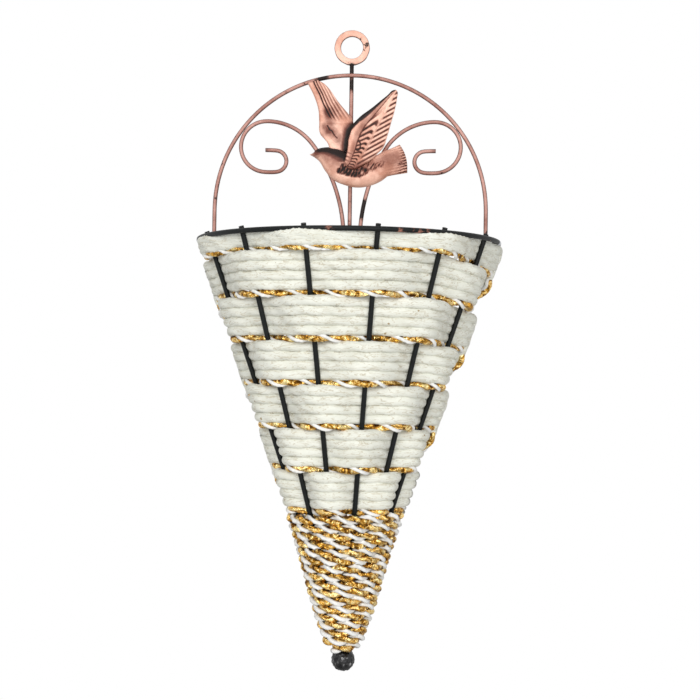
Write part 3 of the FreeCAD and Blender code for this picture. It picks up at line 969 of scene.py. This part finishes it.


# a relief function gives a spot's height over the back and how dark its patina and painted shade
# make it, from its place in millimetres and its distance from the piece's outline

def bodyRelief(x, z, inset):
    rounded = 1 - min(1.0, inset / bird["bodyRound"])
    tail = smooth(24.0, 33.0, x)
    height = bird["bodyEdge"] + bird["bodyBulge"] * dome(rounded) * (1 - 0.72 * tail)
    # head and back
    reach = 1.3 * (5.6 + 7.0 * smooth(-25.0, -8.0, x))
    dark = 1.2 * (1 - smooth(0.0, reach, toLine(x, z, headTop)[0])) * smooth(-31.0, -21.0, x)
    dark *= 1 - smooth(0.0, 4.0, x) if z > -84 else 0
    # painted shade on the body beside the near wing's leading edge
    if x < 2:
        dark = max(dark, 1 - smooth(0.5, 4.0, toLine(x, z, leadingEdge)[0]))
    # torn dark feathers under the wing
    under = toLine(x, z, underWing)[0]
    ragged = 1.6 * grain(x * 0.55 + z * 0.3, z * 0.2, 4.0)
    torn = 1 - smooth(1.2, 3.4 + ragged, under)
    if z > -90.5:
        ends = smooth(-10.5, -5.0, x + 1.3 * ragged) * (1 - smooth(14.0, 20.0, x + ragged))
        torn = max(torn, (1 - smooth(4.0, 7.5, under)) * 0.9 * ends)
    stroke = grain((x - 0.5 * z) * 0.9, (z + 0.5 * x) * 0.28, 2.0)
    core = 1 - smooth(5.0, 17.0, math.hypot(x + 2.0, z + 91.0))
    dark = max(dark, torn * (0.50 + 0.45 * core + 1.1 * stroke))
    height -= 0.5 * torn * bump((x + 0.55 * z) / 2.1)[1]
    # tail feathers
    rib, groove = bump((z - 0.30 * x) / 2.0)
    height += 0.55 * tail * rib
    end = smooth(33.0, 40.5, x + 1.5 * grain(x * 0.3, z * 0.8, 1.0))
    fleck = smooth(0.0, 0.25, grain(x * 0.35, (z - 0.3 * x) * 1.5, 8.0))
    dark = max(dark, tail * groove * (0.35 + 0.5 * end), end * (0.15 + 0.75 * fleck))
    # painted shade: the upper body darker than the belly
    dark = max(dark, 0.40 * smooth(-95.0, -81.0, z) * smooth(0.6, 5.0, inset))
    if z < -83:
        dark = max(dark, tail * 0.75 * fleck * smooth(31, 36, x))
    height *= 0.55 + 0.45 * smooth(0.0, 1.2, inset)
    return height, dark


def nearRelief(x, z, inset):
    # three bands across the wing: its leading rim, a fan of short feathers and long feathers
    lead, along = toLine(x, z, leadingEdge)
    trail = toLine(x, z, trailingEdge)[0]
    across = lead / (lead + trail + 1e-6)
    first, second = 0.33 - 0.06 * along, 0.63 - 0.05 * along
    base = bird["wingThick"]
    if across < first:
        t = across / first
        height = base + 0.75 * dome(2 * t - 1)
        rim = 0.14 + 0.34 * smooth(0.3, 0.6, along)
        dark = 1 - smooth(0.8 * rim, 1.3 * rim, t) + 0.8 * smooth(0.80, 1.0, t)
        dark = max(dark, 0.34 * smooth(0.3, 0.7, t), smooth(0.93, 0.99, along))
        if z < -76:
            dark = max(dark, 0.5 * bump((z + 0.4 * x) / 3.0)[1])
    elif across < second:
        t = (across - first) / (second - first)
        fan = math.degrees(math.atan2(z + 82.0, x + 22.4))
        rib, groove = bump(fan / bird["coverTurn"] + 0.55 * smooth(0.6, 1.0, t))
        height = base + bird["feather"] * (0.25 + 0.75 * rib) + 0.25 * (1 - t)
        dark = 0.88 * groove * (1 - 0.9 * smooth(0.80, 1.0, t))
        dark *= 1 - 0.8 * smooth(0.55, 0.75, along)
        dark = max(dark, 0.6 * (1 - smooth(0.0, 0.16, t)))
        # the painted shadow of a round hollow near the shoulder; the height has no hollow there
        hollow = math.hypot((x - 5.6), (z + 72.3) * 0.55)
        dark = max(dark, 0.9 - smooth(0.5, 1.4, abs(hollow - 1.9) + 0.4))
    else:
        t = (across - second) / (1 - second)
        rib, groove = bump((z - 0.56 * x) / bird["featherStep"] + 0.3)
        height = base + bird["feather"] * rib * (0.85 - 0.3 * t)
        dark = 0.78 * groove * smooth(0.02, 0.14, t) * (1 - 0.8 * smooth(0.90, 1.0, t))
        dark = max(dark, 0.35 * (1 - smooth(0.0, 0.10, t)))
    root = smooth(-90.0, -82.0, z - 0.15 * x)
    dark = max(dark, (1 - root) * 0.65)
    height *= 0.6 + 0.4 * smooth(0.0, 0.9, inset)
    return height, dark


def farRelief(x, z, inset):
    outer = toLine(x, z, farEdge)[0]
    inner = toLine(x, z, farInner)[0]
    across = outer / (outer + inner + 1e-6)
    plain = bird["farThick"] + 0.6
    if z > -56:
        # a raised rim and the long feathers, which fade out downwards
        rim = 0.30 + 0.16 * smooth(-40.0, -60.0, z)
        ribs = (across - rim) / (1 - rim)
        if ribs < 0:
            height = bird["farThick"] + 0.6 * dome(2 * across / rim - 1)
            dark = smooth(0.80, 1.0, across / rim) * smooth(-58.0, -50.0, z)
        else:
            rib, groove = bump(ribs * 5.4)
            height = bird["farThick"] + bird["farFeather"] * rib
            dark = groove * max(0.36, 1.0 - 1.5 * ribs)
        fade = smooth(-56.0, -50.0, z)
        height = plain + (height - plain) * fade
        dark *= fade
    else:
        height = plain + 0.35 * smooth(0.0, 4.0, inset)
        dark = 0.0
    # a creased hollow below the long feathers
    strip = smooth(0.10, 0.30, across) * (1 - smooth(0.34, 0.62, across))
    dark = max(dark, 0.55 * strip * smooth(-40.0, -49.0, z) * (1 - smooth(-56.0, -62.0, z)))
    crease = toLine(x, z, farCrease)[0]
    dark = max(dark, 0.85 * (1 - smooth(0.1, 1.1, crease)), 0.35 * (1 - smooth(0.5, 3.4, crease)))
    height += 0.3 * bump((x - z) / 3.0)[0] * (1 - smooth(0.8, 2.0, abs(crease - 1.8)))
    dark = max(dark, 0.42 * (1 - smooth(0.8, 6.0, crease)))
    dark += 0.10 + 0.3 * grain(x * 0.12, z * 0.12, 6.0)
    # shade beside the near wing and at the root
    shade = 1 - smooth(0.6, 7.6, toLine(x, z, leadingEdge)[0])
    dark = max(dark, shade * (1 - smooth(-57.0, -50.5, z)))
    dark = max(dark, 0.5 * (1 - smooth(-76.0, -72.5, z)))
    height *= 0.6 + 0.4 * smooth(0.0, 0.9, inset)
    return height, dark


pressedPiece("bird_body", bodyOutline, bird["backY"], bodyRelief)
pressedPiece("bird_far_wing", farOutline, bird["backY"], farRelief)
pressedPiece("bird_near_wing", nearOutline, bird["wingBack"], nearRelief)
print("bird made")


# light, floor and camera

# each lamp has its name, place, size in metres and power in watts
studio = dict(worldLight=0.44, floorZ=-1.35, floorRadius=1.6, floorScale=3.0,
              floorTones=((0.84, 0.84, 0.83), (0.88, 0.88, 0.87)), floorRoughness=0.9,
              cameraAt=(0.0573, -1.0976, -0.2415), lookUp=1.203, lookLeft=2.911, roll=0.808,
              focal=78.42, clipStart=0.05, aim=(0.0, -0.05, -0.23),
              lamps=(("key", (-0.35, -1.6, 0.2), 0.9, 14.0), ("fill", (0.7, -1.4, -0.15), 0.8, 6.3),
                     ("top", (0.0, -0.4, 1.1), 0.7, 2.5), ("low", (0.3, -1.2, -1.0), 0.7, 1.4)))


def makeWorld():
    world = bpy.data.worlds.new("studio")
    bpy.context.scene.world = world
    world.use_nodes = True
    tree = world.node_tree
    back = tree.nodes["Background"]
    rays = tree.nodes.new("ShaderNodeLightPath")
    seen = addMath(tree, "MAXIMUM", rays.outputs["Is Camera Ray"], rays.outputs["Is Glossy Ray"])
    seen = addMath(tree, "MAXIMUM", seen, rays.outputs["Is Transmission Ray"])
    light = studio["worldLight"]
    strength = addMath(tree, "ADD", light, addMath(tree, "MULTIPLY", seen, 1.0 - light))
    tree.links.new(strength, back.inputs["Strength"])
    back.inputs["Color"].default_value = (1, 1, 1, 1)


def makeFloor():
    bm = bmesh.new()
    bmesh.ops.create_circle(bm, cap_ends=True, segments=64, radius=studio["floorRadius"])
    bmesh.ops.translate(bm, verts=bm.verts, vec=(0, 0, studio["floorZ"]))
    mesh = bpy.data.meshes.new("floor")
    bm.to_mesh(mesh)
    bm.free()
    floor = bpy.data.objects.new("floor", mesh)
    bpy.context.scene.collection.objects.link(floor)
    material, tree, shader, coords = newMaterial("floorPaint")
    dark, pale = studio["floorTones"]
    tone = addNoise(tree, coords, studio["floorScale"], 2.0)
    tree.links.new(addRamp(tree, tone, [(0.3, dark), (0.7, pale)]), shader.inputs["Base Color"])
    shader.inputs["Roughness"].default_value = studio["floorRoughness"]
    mesh.materials.append(material)


def makeLamps():
    for name, where, size, power in studio["lamps"]:
        lamp = bpy.data.lights.new(name, "AREA")
        lamp.shape = "DISK"
        lamp.size = size
        lamp.energy = power
        holder = bpy.data.objects.new(name, lamp)
        bpy.context.scene.collection.objects.link(holder)
        holder.location = where
        way = Vector(studio["aim"]) - Vector(where)
        holder.rotation_euler = way.to_track_quat("-Z", "Y").to_euler()


def makeCamera():
    camera = bpy.data.objects.new("camera", bpy.data.cameras.new("camera"))
    bpy.context.scene.collection.objects.link(camera)
    camera.location = studio["cameraAt"]
    look = Euler((math.radians(90 + studio["lookUp"]), 0, math.radians(studio["lookLeft"])))
    turned = look.to_matrix() @ Matrix.Rotation(math.radians(studio["roll"]), 3, "Z")
    camera.rotation_euler = turned.to_euler()
    camera.data.sensor_width = 36
    camera.data.lens = studio["focal"]
    camera.data.clip_start = studio["clipStart"]
    bpy.context.scene.camera = camera


makeWorld()
makeFloor()
makeLamps()
makeCamera()
bpy.context.scene.view_settings.view_transform = "Standard"
print("studio made")
